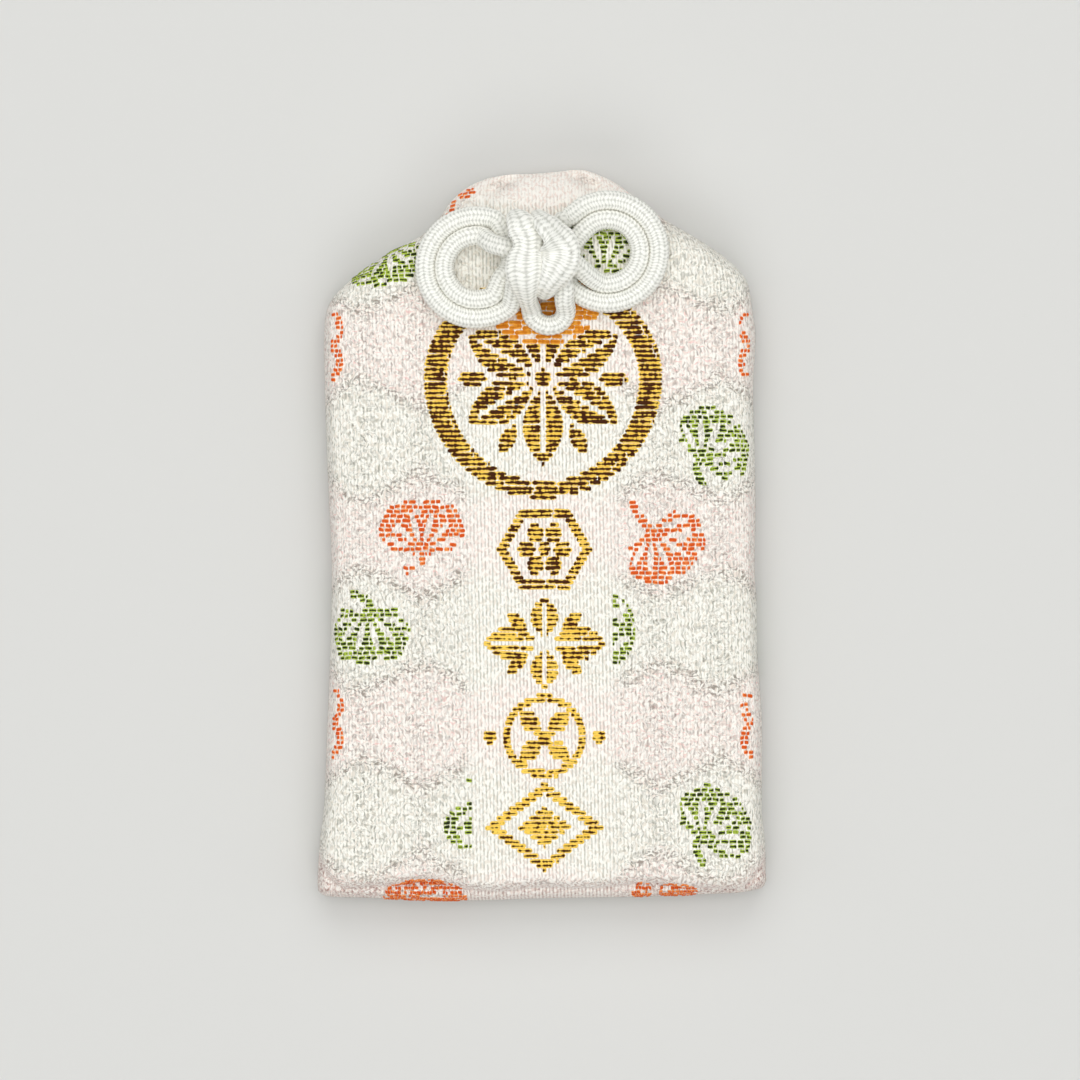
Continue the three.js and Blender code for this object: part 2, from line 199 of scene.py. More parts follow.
# Interlinings: two sheets of plain stiff cloth, one behind each brocade panel, a little smaller
# than the panels. The pouch's outline, in millimetres from its middle, starts here.
LEFT_SIDE = [
    (-23.15, -36.7), (-23.2, -35.2), (-22.95, -31.3), (-22.55, -28.2), (-22.3, -22), (-22.05, -16),
    (-21.85, -9.8), (-21.75, -3.6), (-22, 2.6), (-22.25, 8.7), (-22.45, 14.9), (-22.55, 20.2),
    (-22.25, 23.2), (-21.3, 24.9), (-19.8, 26.3), (-17.8, 27.8), (-15.5, 29.3), (-13.6, 30.3),
    (-12.2, 31.1), (-11.2, 32.1), (-10.4, 33), (-9.7, 34.1), (-8.7, 35.2), (-7.4, 36.1), (-5.6, 36.85),
]
RIGHT_SIDE = [
    (22.6, -36.45), (23.07, -35.8), (23.05, -34.4), (22.95, -31.3), (22.65, -28.2), (22.65, -19),
    (22.2, -12.8), (22.1, -6.7), (21.9, -3.6), (22, 2.6), (21.9, 8.7), (21.75, 14.9), (22, 20.4),
    (21.65, 23.2), (21.4, 25.1), (21.05, 26.3), (20.3, 27.3), (18.75, 28.7), (16.4, 30.3), (13.6, 31.95),
    (11.9, 33), (10.6, 34.1), (9.2, 35.1), (7.9, 36.1), (6.6, 36.85),
]
HEM_EDGE = [
    (-23.15, -36.7), (-22.1, -37.3), (-18, -37.45), (-12, -37.7), (-6, -37.7), (0, -37.5), (6, -37.4),
    (10.7, -37.3), (16, -37.1), (20.3, -36.9), (22.6, -36.45),
]
NECK_EDGE = [(-5.6, 36.85), (-3.5, 37.2), (-1, 37.3), (1.5, 37.5), (3.2, 37.7), (4.6, 37.6), (6.6, 36.85)]
OUTLINE_STEP = 0.5
CURVE_STEPS = 24
SEAM_HEIGHT = 2.05
FRONT_HEIGHT = 6.27
LINING = 0.3
LINING_THREAD = 0.4
LINING_SHARE = (0.9, 0.92)
LINING_DEPTH = 1.0
LINING_DROP = 0.4
LINING_INSET = 2.0
LINING_FOOT = -34.2
FOOT_ROLL = 4


def run_along(line):
    """Length of a line up to each of its points."""
    return np.concatenate([[0], np.cumsum(np.linalg.norm(np.diff(line, axis=0), axis=1))])


def smooth_line(points, spacing):
    """Points at even spacing along a smooth curve through the given ones. Columns after the third are
    carried along."""
    points = np.array(points, float)
    ends = np.vstack([2 * points[0] - points[1], points, 2 * points[-1] - points[-2]])
    share = np.linspace(0, 1, CURVE_STEPS, endpoint=False)[:, None]
    stretches = []
    for p0, p1, p2, p3 in zip(ends, ends[1:], ends[2:], ends[3:]):
        stretches.append(p1 + 0.5 * (p2 - p0) * share
                         + (p0 - 2.5 * p1 + 2 * p2 - 0.5 * p3) * share ** 2
                         + (-0.5 * p0 + 1.5 * p1 - 1.5 * p2 + 0.5 * p3) * share ** 3)
    dense = np.vstack([*stretches, points[-1:]])
    run = run_along(dense[:, :3])
    count = max(2, round(run[-1] / spacing) + 1)
    at = np.linspace(0, run[-1], count)
    return np.stack([np.interp(at, run, dense[:, axis]) for axis in range(dense.shape[1])], 1)


def line_distance(places, line):
    """Distance of each place from the nearest stretch of a line."""
    nearest = np.full(len(places), np.inf)
    for start, end in zip(line, line[1:]):
        along = end - start
        share = np.clip((places - start) @ along / (along @ along), 0, 1)
        nearest = np.minimum(nearest, np.linalg.norm(places - start - share[:, None] * along, axis=1))
    return nearest


def along_line(line, shares):
    """Places at shares of a line's length."""
    run = run_along(line)
    return np.stack([np.interp(shares * run[-1], run, line[:, axis]) for axis in range(2)], 1)


left_line, right_line, hem_line, neck_line = (
    smooth_line(edge, OUTLINE_STEP) for edge in (LEFT_SIDE, RIGHT_SIDE, HEM_EDGE, NECK_EDGE))
upper_line = np.vstack([left_line, neck_line[1:], right_line[-2::-1]])


def grid_piece(name, columns, rows):
    """A flat grid, and its points' shares of the way across and up it."""
    bpy.ops.object.select_all(action="DESELECT")
    bpy.ops.mesh.primitive_grid_add(x_subdivisions=columns, y_subdivisions=rows, size=1)
    piece = bpy.context.object
    piece.name = piece.data.name = name
    flat = np.zeros(len(piece.data.vertices) * 3)
    piece.data.vertices.foreach_get("co", flat)
    return piece, flat.reshape(-1, 3)[:, :2] + 0.5


def lay_out(piece, layer_name, places):
    """Keeps a place for each point of a grid in its UV map."""
    corner_points = np.zeros(len(piece.data.loops), int)
    piece.data.loops.foreach_get("vertex_index", corner_points)
    layer = piece.data.uv_layers[0]
    layer.name = layer_name
    layer.uv.foreach_set("vector", places[corner_points].ravel())


def pouch_grid(name, columns, rows, crowding):
    """A grid with a place in the pouch's outline for each point, its lines crowded towards the edges."""
    sheet, even = grid_piece(name, columns, rows)
    across, up = (even - np.array(crowding) * np.sin(2 * np.pi * even) / (2 * np.pi)).T
    left, right = along_line(left_line, up), along_line(right_line, up)
    hem, neck = along_line(hem_line, across), along_line(neck_line, across)
    across, up = across[:, None], up[:, None]
    corners = ((1 - up) * ((1 - across) * hem_line[0] + across * hem_line[-1])
               + up * ((1 - across) * neck_line[0] + across * neck_line[-1]))
    places = (1 - up) * hem + up * neck + (1 - across) * left + across * right - corners
    return sheet, places


def swell(distance, reach):
    """How far cloth has risen at a distance from its sewn edge, from 0 to 1."""
    share = np.clip(distance / reach, 0, 1)
    return (1 - (1 - share) ** 2) ** 0.6


def shape_sheet(sheet, places, heights, cut_places, thickness, faces_down):
    """Moves a grid's points to their places, and gives the cloth its cut, thickness and facing."""
    points = np.column_stack([places, heights]) * MM
    sheet.data.vertices.foreach_set("co", points.ravel())
    lay_out(sheet, "cut", cut_places)
    bpy.ops.object.mode_set(mode="EDIT")
    bpy.ops.mesh.select_all(action="SELECT")
    if faces_down:
        bpy.ops.mesh.flip_normals()
    bpy.ops.object.mode_set(mode="OBJECT")
    walls = sheet.modifiers.new("walls", "SOLIDIFY")
    walls.thickness = thickness * MM
    walls.offset = -1
    bpy.ops.object.modifier_apply(modifier=walls.name)
    bpy.ops.object.shade_smooth()


def across_and_up(finish, place):
    """The first two parts of a place in a finish."""
    across = finish.node("ShaderNodeSeparateXYZ", {}, {"Vector": place})
    return across, Value(finish, across.socket.node.outputs["Y"])


lining_cloth = Finish("plain_interlining")
lining_weave = lining_cloth.object_place((1 / MM, 1 / MM, 1 / MM))
lining_across, lining_up = across_and_up(lining_cloth, lining_weave)
warp_rise = abs(lining_across / LINING_THREAD % 1.0 - 0.5) * 2
weft_rise = abs(lining_up / LINING_THREAD % 1.0 - 0.5) * 2
threads = (1 - warp_rise.least(weft_rise)) * 0.8 + lining_cloth.noise(lining_weave) * 0.2
lining_cloth.feed(lining_cloth.shader, {
    "Base Color": lining_cloth.between(threads, colour(222, 219, 208), colour(245, 243, 236)),
    "Roughness": threads * 0.1 + 0.8,
    "Normal": lining_cloth.relief(threads, 0.06 * MM),
})
for node, faces_down, edge_height, height, roll in (
        ("front_lining", False, SEAM_HEIGHT, FRONT_HEIGHT - LINING_DEPTH, 8.0),
        ("back_lining", True, SEAM_HEIGHT - LINING_DROP, LINING_DEPTH, 4.0)):
    sheet, places = pouch_grid(node + "_cloth", 60, 96, (0.4, 0.6))
    places = places * LINING_SHARE
    inset = line_distance(places, upper_line) - LINING_INSET
    foot = swell(places[:, 1] - LINING_FOOT, FOOT_ROLL)
    heights = edge_height + (height - edge_height) * swell(inset, roll) * foot
    shape_sheet(sheet, places, heights, places, LINING, faces_down)
    lining_cloth.put_on(sheet)
    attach(sheet, "pouch")
    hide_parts(node)


# Brocade panels: figured silk, cut to the house shape with a hem below it, turned in and sewn
# together round the sides. Card and slip fill them out, and the neck is drawn together by the cord.
CLOTH = 0.4
HEM_RISE = 2.6
HEM_ROLL = 0.9
SIDE_ROLL = 3.4
NECK_ROLL = 9.5
NECK_START = 29.5
NECK_REACH = 3.5
NECK_FOLDS = [
    ((-5.4, 35.4), (-2.9, 37.0), 1.2), ((3.2, 37.2), (5.4, 35.9), 1.2), ((0.6, 35.6), (1.4, 37.6), 0.2),
]
FOLD_SPREAD = 0.75
# Middles and half sizes of two patches of painted shade, where the neck folds in at its upper corners.
NECK_CREASE_SHADES = [(-4.4, 36.6), (4.6, 37.2)]
CREASE_SHADE_HALF_LENGTH = 2.2
CREASE_SHADE_HALF_WIDTH = 0.9
HOLES = [(-0.4, 32.3), (1.95, 32.3)]
HOLE_DEPTH = 0.7
HOLE_SPREAD = 1.1
RIDGE_ROW = -36.0
RIDGE_ROLL = 1.1
RIDGE_LAP = 0.45
RIDGE_CORNER = 19.6
CORNER_LIFT = 3.4
HEM_LIFTS = (-12.1, 11.4)
BEAD = 0.78
BEAD_RISE = 0.28
CRUMPLE_RISE = 0.07
SAG = 0.05
BACK_HEIGHT = 0.14
NO_HEM = 9.0
RIB = 0.37
CELL_WIDTH = 12.22
CELL_ROW = 9.76
CELL_SHIFT = -0.15
CELL_FLATNESS = 1.25
COLUMN_HALF = 7.2


def ridge_line(across):
    """Height on the cloth of the crease where the card ends and the hem begins. It waves a little, lifts
    in two places and curls up to the corners."""
    lifted = sum(0.85 * np.exp(-((across - middle) / 3.2) ** 2) for middle in HEM_LIFTS)
    curled = CORNER_LIFT * np.clip((np.abs(across) - RIDGE_CORNER) / CORNER_LIFT, 0, 1) ** 2.2
    return (RIDGE_ROW + 0.16 * np.sin(across / 3.1 + 0.6) + 0.1 * np.sin(across / 1.35 + 2) + lifted
            + curled)


def inward_normal(places, outline):
    """Direction into the pouch from the stretch of an outline, taken clockwise, nearest each place."""
    nearest = np.full(len(places), np.inf)
    inward = np.zeros_like(places)
    for start, end in zip(outline, outline[1:]):
        distance = line_distance(places, np.array([start, end]))
        closer = distance < nearest
        nearest[closer] = distance[closer]
        inward[closer] = np.array([end[1] - start[1], start[0] - end[0]]) / np.linalg.norm(end - start)
    return inward


def slack(distance, reach, rise):
    """Cloth taken up, from a place to the level part, where the cloth swells by a rise over a reach."""
    at = np.linspace(0, reach, 200)
    taken = np.hypot(np.diff(at), np.diff(rise * swell(at, reach))) - np.diff(at)
    return np.interp(distance, at, np.append(np.cumsum(taken[::-1])[::-1], 0))


def front_shape(places):
    """Heights of the front panel over the table, where its points lie when the cloth is spread out, and
    how far they are above the hem's ridge."""
    across, up = places.T
    sides, hem = line_distance(places, upper_line), line_distance(places, hem_line)
    rim = np.minimum(sides, hem)
    above = up - ridge_line(across)
    rise = FRONT_HEIGHT - SEAM_HEIGHT
    card_rise = rise - HEM_RISE
    drawn_in = np.clip((up - NECK_START) / NECK_REACH, 0, 1)
    drawn_in = drawn_in ** 2 * (3 - 2 * drawn_in)
    crown = (1 - drawn_in) * swell(sides, SIDE_ROLL) + drawn_in * swell(sides, NECK_ROLL)
    crown = crown * swell(above + RIDGE_LAP, RIDGE_ROLL)
    hem_share = swell(rim, HEM_ROLL) * (1 - drawn_in) + crown * drawn_in
    heights = SEAM_HEIGHT + HEM_RISE * hem_share + card_rise * crown
    beads = np.sin(across * 2 * np.pi / BEAD + 1.6 * np.sin(across / 2.3) + 0.8 * np.sin(across / 0.9))
    heights += BEAD_RISE * beads * np.exp(-((above - 0.15) / 0.4) ** 2) * swell(sides, 2)
    crumple = np.sin(across / 0.13 + 3 * np.sin(up / 0.3)) * np.sin(up / 0.11 + 2 * np.sin(across / 0.5))
    heights += CRUMPLE_RISE * crumple * np.clip(0.2 - above, 0, 1) * swell(rim, 1.2)
    heights += SAG * np.sin(across / 4.3 + up / 9) * np.sin(up / 6.1 + across / 11) * crown
    for start, end, depth in NECK_FOLDS:
        fold = line_distance(places, np.array([start, end], float))
        heights -= depth * np.exp(-(fold / FOLD_SPREAD) ** 2) * swell(sides, 1.0)
    for hole in HOLES:
        away = np.linalg.norm(places - np.array(hole), axis=1)
        heights -= HOLE_DEPTH * np.exp(-(away / HOLE_SPREAD) ** 2)
    taken_up = (1 - drawn_in) * slack(sides, SIDE_ROLL, rise) + drawn_in * slack(sides, NECK_ROLL, rise)
    spread = places - inward_normal(places, upper_line) * taken_up[:, None]
    spread[:, 1] -= slack(above + RIDGE_LAP, RIDGE_ROLL, card_rise) + slack(hem, HEM_ROLL, HEM_RISE)
    return heights, spread, above


def back_shape(places):
    """The same for the back panel, which lies flat on the table, rolls up to the seam and has no hem."""
    outline = np.vstack([upper_line, hem_line[-2::-1]])
    sides = line_distance(places, outline)
    heights = SEAM_HEIGHT - (SEAM_HEIGHT - BACK_HEIGHT) * swell(sides, SIDE_ROLL)
    spread = places - inward_normal(places, outline) * slack(sides, SIDE_ROLL, SEAM_HEIGHT)[:, None]
    return heights, spread, np.full(len(places), NO_HEM)


brocade = Finish("pale_brocade")
cut_place = brocade.node("ShaderNodeUVMap", {"uv_map": "cut"}, {})
across, up = across_and_up(brocade, cut_place)


def wrapped(value, period):
    return (value + period / 2) % period - period / 2


def cell_distance(shift_across, shift_up):
    """Distance from the middles of one set of the woven cells, and how far to one side."""
    side = wrapped(across - shift_across, CELL_WIDTH)
    rise = wrapped(up - shift_up, 2 * CELL_ROW)
    return (side * side + rise * rise * CELL_FLATNESS) ** 0.5, abs(side)


def cloth_noise(place, scale_across, scale_up, detail=1.0, roughness=0.5):
    scaled = brocade.node("ShaderNodeMapping", {}, {"Vector": place, "Scale": (scale_across, scale_up, 1)})
    return brocade.noise(scaled, detail, roughness)


def point_value(finish, name):
    """A value that the points of a piece carry."""
    return finish.node("ShaderNodeAttribute", {"attribute_name": name}, {}, "Fac")


drift = brocade.node("ShaderNodeTexNoise", {}, {"Vector": cut_place, "Scale": 1.1, "Detail": 1.0}, "Color")
astray = brocade.node("ShaderNodeVectorMath", {"operation": "MULTIPLY_ADD"}, {
    0: drift, 1: (0.9, 0.9, 0.0), 2: cut_place,
})
pink_reach, pink_side = cell_distance(CELL_SHIFT, 0.0)
white_reach, white_side = cell_distance(CELL_SHIFT + CELL_WIDTH / 2, CELL_ROW)
slub = cloth_noise(cut_place, 0.42, 0.36, 5.0, 0.7) - 0.5
above_ridge = point_value(brocade, "above_ridge")
# Along the hem the weave's marks are denser and its gaps darker and pinker: partly the cloth's own texture,
# partly painted shade where the hem lies low under the ridge.
hem_share = 1 - above_ridge.eased(-0.5, 0.5)
# The neck has fewer dark marks: partly its smoother satin, partly a painted highlight where the neck slopes
# towards the light.
neck_share = up.eased(33.0, 35.5)
whiteness = (pink_reach - white_reach + slub * 9).eased(-3.4, 3.4) * (1 - hem_share * 0.8)
row_border = 1 - abs(pink_reach - white_reach + slub * 6).eased(0.2, 2.8)
side_border = 1 - (CELL_WIDTH / 2 - pink_side.most(white_side) + slub * 6).eased(0.0, 2.4)
figured = (abs(across) + slub * 2).eased(COLUMN_HALF - 0.8, COLUMN_HALF + 1.4)
speckle = row_border.most(side_border * 0.4) * figured

wander = cloth_noise(cut_place, 1.6, 1.1, 2.0) - 0.5
rib = abs((across + up * 0.02 + wander * 0.16) / RIB % 1.0 - 0.5) * 2
slant = cloth_noise(astray, 2.2, 1.6)
groove = rib.eased(0.3, 0.9) * (slant.eased(0.38, 0.54) * 0.8 + 0.2)
upright_marks = cloth_noise(astray, 3.8, 1.6).eased(0.54, 0.61)
level_marks = cloth_noise(astray, 1.6, 4.0).eased(0.54, 0.61)
curls = cloth_noise(astray, 3.2, 3.0).eased(0.54, 0.61)
marks = (upright_marks * (0.5 - speckle * 0.15) + level_marks * (speckle * 0.6 + 0.05)
         + curls * (speckle * 0.55 + 0.12))
# Painted shade: mauve-grey patches over the two neck folds, added to the weave's dark marks.
crease = 0.0
for crease_across, crease_up in NECK_CREASE_SHADES:
    along = (across - crease_across) / CREASE_SHADE_HALF_LENGTH
    beside = (up - crease_up + slub * 2) / CREASE_SHADE_HALF_WIDTH
    crease = 1 - ((along ** 2 + beside ** 2) ** 0.5).eased(0.2, 1.1) + crease
hollow = (groove * (0.55 - figured * 0.27) + marks * (figured * 0.8 + 0.1)
          + (curls + level_marks) * hem_share * 0.22)
hollow = (hollow * (1 - neck_share * 0.6) + crease * (curls + 0.4) * 0.4).least(1.0)
# Painted highlight: scattered threads turned near-white in the colour; the same noise also raises them in the
# relief.
glint = cloth_noise(astray, 3.8, 2.1).eased(0.42, 0.5)
blush = cloth_noise(astray, 1.3, 4.2).eased(0.62, 0.68) * (1 - whiteness) * figured * 0.5

thread_colour = brocade.between(whiteness, colour(244, 229, 218), colour(238, 231, 217))
bright_colour = brocade.between(whiteness, colour(255, 249, 240), colour(255, 252, 242))
gap_colour = brocade.between(whiteness, colour(166, 150, 140), colour(150, 147, 132))
gap_colour = brocade.between(hem_share, gap_colour, colour(172, 138, 128))
grains = cloth_noise(astray, 3.6, 3.2).eased(0.48, 0.58)
grain_row = above_ridge.eased(-0.5, -0.2) * (1 - above_ridge.eased(0.4, 0.8))
shade = (hollow * (1 - grain_row * 0.9) + grains * grain_row * 0.6).least(1.0)
silk_colour = brocade.between(glint, thread_colour, bright_colour)
silk_colour = brocade.between(blush, silk_colour, colour(240, 180, 172))
brocade.feed(brocade.shader, {
    "Base Color": brocade.between(shade, silk_colour, gap_colour),
    "Roughness": hollow * 0.25 + 0.5,
    "Normal": brocade.relief(glint * 0.5 - hollow, 0.05 * MM, 0.7),
    "Sheen Weight": 0.15,
    "Sheen Roughness": 0.4,
    "Specular IOR Level": 0.4,
})

PANEL_COLUMNS, PANEL_ROWS = 230, 160
cloth_lay = {}
for node, faces_down, shape_of, flat_size, flat_area in (
        ("front_panel", False, front_shape, (0.051, 0.0815), 0.0037),
        ("back_panel", True, back_shape, (0.0475, 0.078), 0.0032)):
    panel, places = pouch_grid(node + "_cloth", PANEL_COLUMNS, PANEL_ROWS, (0.5, 0.85))
    heights, cut_places, above = shape_of(places)
    panel.data.attributes.new("above_ridge", "FLOAT", "POINT").data.foreach_set("value", above)
    shape_sheet(panel, places, heights, cut_places, CLOTH, faces_down)
    brocade.put_on(panel)
    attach(panel, "pouch")
    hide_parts(node)
    cloth_lay[node] = cut_places, np.column_stack([places, heights])


# Woven figures: coloured weft in gold, amber, orange and green, which floats over the silk pick by
# pick. Scattered leaves lie over the cloth, and a ring and four ornaments fill the middle.
PICK = 0.485
FLOAT_STATIONS = (-1.0, -0.8, 0.8, 1.0)
FLOAT_SECTION = ((-1.0, -0.35, 0.0), (-0.6, 0.6, 0.35), (0.0, 1.0, 1.0), (0.6, 0.6, 0.35), (1.0, -0.35, 0.0))
FLOAT_STRAY = 0.035
SHORTEST_FLOAT = 0.18
SEAM_CLEAR = 0.4
RING = (0.05, 16.1)
RING_OUTER = 12.3
RING_INNER = 9.8
RING_FLATNESS = 1.14
RING_THINNESS = 1.08
LEAF_COLUMN = 24.45
LEAF_REACH = 6.5
LEAF_HALF_WIDTH = 4.35
LEAF_WIDEST = 2.3
LEAF_ABOVE = 3.2
LEAF_BELOW = 2.4
LEAF_OPENINGS = (15, 42, 68)
STALK_HALF_WIDTH = 0.42
LEAF_STALK = np.array([(0.1, 0.3), (0.25, -0.6), (-0.1, -1.05), (-0.8, -1.45), (-1.5, -1.7)])
rng = np.random.default_rng(7)


def turned(across, up, middle, degrees):
    """Places as seen from a figure's own middle and upright."""
    turn = math.radians(degrees)
    x, y = across - middle[0], up - middle[1]
    return x * math.cos(turn) + y * math.sin(turn), y * math.cos(turn) - x * math.sin(turn)


def petal(x, y, start, end, half_width, vein=0.0):
    share = np.clip((y - start) / (end - start), 0, 1)
    width = half_width * np.sin(np.pi * share) ** 0.75
    return (np.abs(x) < width) & (np.abs(x) > vein * (share < 0.85))


def patch(middle, half_width, half_height):
    def inside(across, up):
        return np.hypot((across - middle[0]) / half_width, (up - middle[1]) / half_height) < 1
    return inside


disc = patch((RING[0], 23.6), 5.9, 4.0)


def ring(across, up):
    """A ring that is flatter above its middle and thinner below it."""
    x, y = across - RING[0], up - RING[1]
    outer = np.hypot(x, np.where(y > 0, y * RING_FLATNESS, y))
    inner = np.hypot(x, np.where(y > 0, y * RING_FLATNESS, y / RING_THINNESS))
    return (inner > RING_INNER) & (outer < RING_OUTER) & ~disc(across, up)


def rosette(across, up):
    inside = np.hypot(across - RING[0], up - RING[1]) < 0.9
    for turn in range(6):
        inside |= petal(*turned(across, up, RING, 60 * turn), 1.1, 8.9, 2.15, 0.22)
        inside |= petal(*turned(across, up, RING, 60 * turn + 30), 5.6, 8.9, 0.85)
    return inside & ~disc(across, up)


def tortoiseshell(middle):
    def inside(across, up):
        x, y = across - middle[0], up - middle[1]
        edge = np.maximum(np.abs(y), np.abs(x) * 0.866 + np.abs(y) * 0.5)
        found = (edge > 3.3) & (edge < 4.3) | (np.hypot(x, y) < 0.7)
        for turn in range(6):
            found |= petal(*turned(across, up, middle, 60 * turn + 30), 0.8, 2.9, 0.95)
        return found
    return inside


def diamond_flower(middle):
    def inside(across, up):
        found = np.zeros(np.shape(across), bool)
        for turn, reach, width in ((0, 4.6, 1.5), (90, 6.3, 1.75), (180, 4.6, 1.5), (270, 6.3, 1.75)):
            found |= petal(*turned(across, up, middle, turn), 0.7, reach, width, 0.16)
        for turn in (52, 128, 232, 308):
            found |= petal(*turned(across, up, middle, turn), 2.2, 4.9, 0.7)
        return found
    return inside


def linked_circles(middle):
    def inside(across, up):
        reach = np.hypot(across - middle[0], up - middle[1])
        found = (reach > 3.5) & (reach < 4.3) | (reach < 0.75)
        for turn in (45, 135, 225, 315):
            found |= petal(*turned(across, up, middle, turn), 0.5, 3.6, 0.95)
        for side in (-1, 1):
            away = np.hypot(across - middle[0] - side * 5.6, up - middle[1])
            found |= away < 0.75
        return found
    return inside


def nested_lozenge(middle):
    def inside(across, up):
        edge = np.abs(across - middle[0]) / 6.2 + np.abs(up - middle[1]) / 4.6
        return (edge < 1) & (edge > 0.74) | (edge < 0.46)
    return inside


def leaf(foot, upright, stalk=(1, 1)):
    """A broad scalloped leaf on its foot: an outline and ribs with openings between them, and a hooked
    stalk."""
    def inside(across, up):
        x, y = turned(across, up, foot, upright)
        fan = np.degrees(np.abs(np.arctan2(x, y)))
        reach = np.hypot(x, y)
        tall = np.where(y > LEAF_WIDEST, (y - LEAF_WIDEST) / LEAF_ABOVE, (LEAF_WIDEST - y) / LEAF_BELOW)
        scallops = 0.07 * np.cos(np.radians(fan * 11))
        blade = (np.abs(x) / LEAF_HALF_WIDTH) ** 2.3 + tall ** 2.3 < 1 + scallops
        width = 0.3 * np.sin(np.pi * np.clip((reach - 1.2) / 3.1, 0, 1)) ** 0.5
        for opening in LEAF_OPENINGS:
            blade &= ~(np.abs(np.radians(fan - opening)) * reach < width)
        blade |= (np.abs(x) < 3.2) & (np.abs(y - 0.2) < 0.3)
        return blade | (line_distance(np.column_stack([x, y]), LEAF_STALK * stalk) < STALK_HALF_WIDTH)
    return inside


RIM_LOBE = (1.7, 3.3)
RIM_OUTER = 2.0
RIM_INNER = 0.95
RIM_START = 3.4


def leaf_rim(foot, upright):
    """The two-lobed edge of a leaf whose middle lies round the side of the pouch."""
    def inside(across, up):
        x, y = turned(across, up, foot, upright)
        lobe = np.hypot(np.abs(x) - RIM_LOBE[0], y - RIM_LOBE[1])
        return (lobe < RIM_OUTER) & (lobe > RIM_INNER) & (y > RIM_START)
    return inside


def half_leaf(middle, half_width, half_height):
    """A leaf cut off by the plain middle of the cloth, with a curved opening in it."""
    def inside(across, up):
        x, y = (across - middle[0]) / half_width, (up - middle[1]) / half_height
        reach = np.hypot(x, y)
        return (reach < 1) & ~((reach > 0.45) & (reach < 0.66) & (np.abs(y) > 0.16))
    return inside


def floats_over(figure, low, high, length, space, drop=0.0, keep=None):
    """Floats, as (middle, height on the cloth, half length), that fill a figure pick by pick. A share of
    them is dropped, where the weft stays under the silk."""
    found = []
    for pick in range(math.ceil(low[1] / PICK), math.floor(high[1] / PICK) + 1):
        height = pick * PICK
        along = np.arange(low[0], high[0], 0.05)
        level = np.full(len(along), height)
        inside = figure(along, level)
        if keep is not None:
            inside &= keep(along, level)
        edges = np.flatnonzero(np.diff(np.concatenate([[0], inside.astype(int), [0]])))
        for start, end in zip(along[edges[::2]], along[edges[1::2] - 1]):
            at = start
            while end - at > SHORTEST_FLOAT:
                reach = min(end, at + length * rng.uniform(0.65, 1.35))
                if end - reach < 0.25:
                    reach = end
                if rng.uniform() > drop:
                    level_at = height + rng.normal(0, FLOAT_STRAY)
                    found.append(((at + reach) / 2, level_at, (reach - at) / 2))
                at = reach + space * rng.uniform(0.6, 1.5)
    return found


def face_outwards():
    """Turns the faces of the active piece outwards and smooths its shading."""
    bpy.ops.object.mode_set(mode="EDIT")
    bpy.ops.mesh.select_all(action="SELECT")
    bpy.ops.mesh.normals_make_consistent(inside=False)
    bpy.ops.object.mode_set(mode="OBJECT")
    bpy.ops.object.shade_smooth()


def weave(name, floats, node, outward, half_width, rise):
    """One piece that holds all floats of a colour, each laid along the drawn cloth of a panel."""
    spread, drawn = cloth_lay[node]
    spread = [Vector((u, v, 0)) for u, v in spread]
    drawn = [Vector(point) for point in drawn]
    width = PANEL_COLUMNS + 1
    quads = [row * width + column for row in range(PANEL_ROWS) for column in range(PANEL_COLUMNS)]
    triangles = [corners for a in quads for corners in (
        (a, a + 1, a + width + 1), (a, a + width + 1, a + width))]
    tree = BVHTree.FromPolygons(spread, triangles)
    points, faces, crests = [], [], []
    sides = len(FLOAT_SECTION)
    for middle, height, half in floats:
        hits = [tree.ray_cast((middle + station * half, height, 1), (0, 0, -1)) for station in FLOAT_STATIONS]
        if any(hit[0] is None for hit in hits):
            continue
        corners = [triangles[hit[2]] for hit in hits]
        laid = [barycentric_transform(hit[0], *(spread[c] for c in three), *(drawn[c] for c in three))
                for hit, three in zip(hits, corners)]
        if any(abs(place.z - SEAM_HEIGHT) < SEAM_CLEAR for place in laid):
            continue
        first = len(points)
        bend = rng.normal(0, FLOAT_STRAY)
        weft = (laid[-1] - laid[0]).normalized()
        for place, (a, b, c), station in zip(laid, corners, FLOAT_STATIONS):
            fullness = 1.0 if abs(station) < 0.9 else 0.4
            normal = (drawn[b] - drawn[a]).cross(drawn[c] - drawn[a]).normalized() * outward
            warp = normal.cross(weft) * outward
            for side, lift, crest in FLOAT_SECTION:
                over = normal * (rise * (lift * fullness - (1 - fullness) * 0.5))
                sideways = warp * (half_width * side * (0.4 + 0.6 * fullness) + bend * station)
                points.append((place + over + sideways) * MM)
                crests.append(crest * fullness)
        for row in range(len(FLOAT_STATIONS) - 1):
            for side in range(sides):
                a, b = first + row * sides + side, first + row * sides + (side + 1) % sides
                faces.append((a, a + sides, b + sides, b))
        last = first + (len(FLOAT_STATIONS) - 1) * sides
        faces.append(tuple(range(first, first + sides)))
        faces.append(tuple(range(last + sides - 1, last - 1, -1)))
    mesh = bpy.data.meshes.new(name)
    mesh.from_pydata(points, [], faces)
    mesh.attributes.new("crest", "FLOAT", "POINT").data.foreach_set("value", crests)
    piece = bpy.data.objects.new(name, mesh)
    bpy.context.scene.collection.objects.link(piece)
    bpy.ops.object.select_all(action="DESELECT")
    piece.select_set(True)
    bpy.context.view_layer.objects.active = piece
    face_outwards()
    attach(piece, "pouch")
    return piece


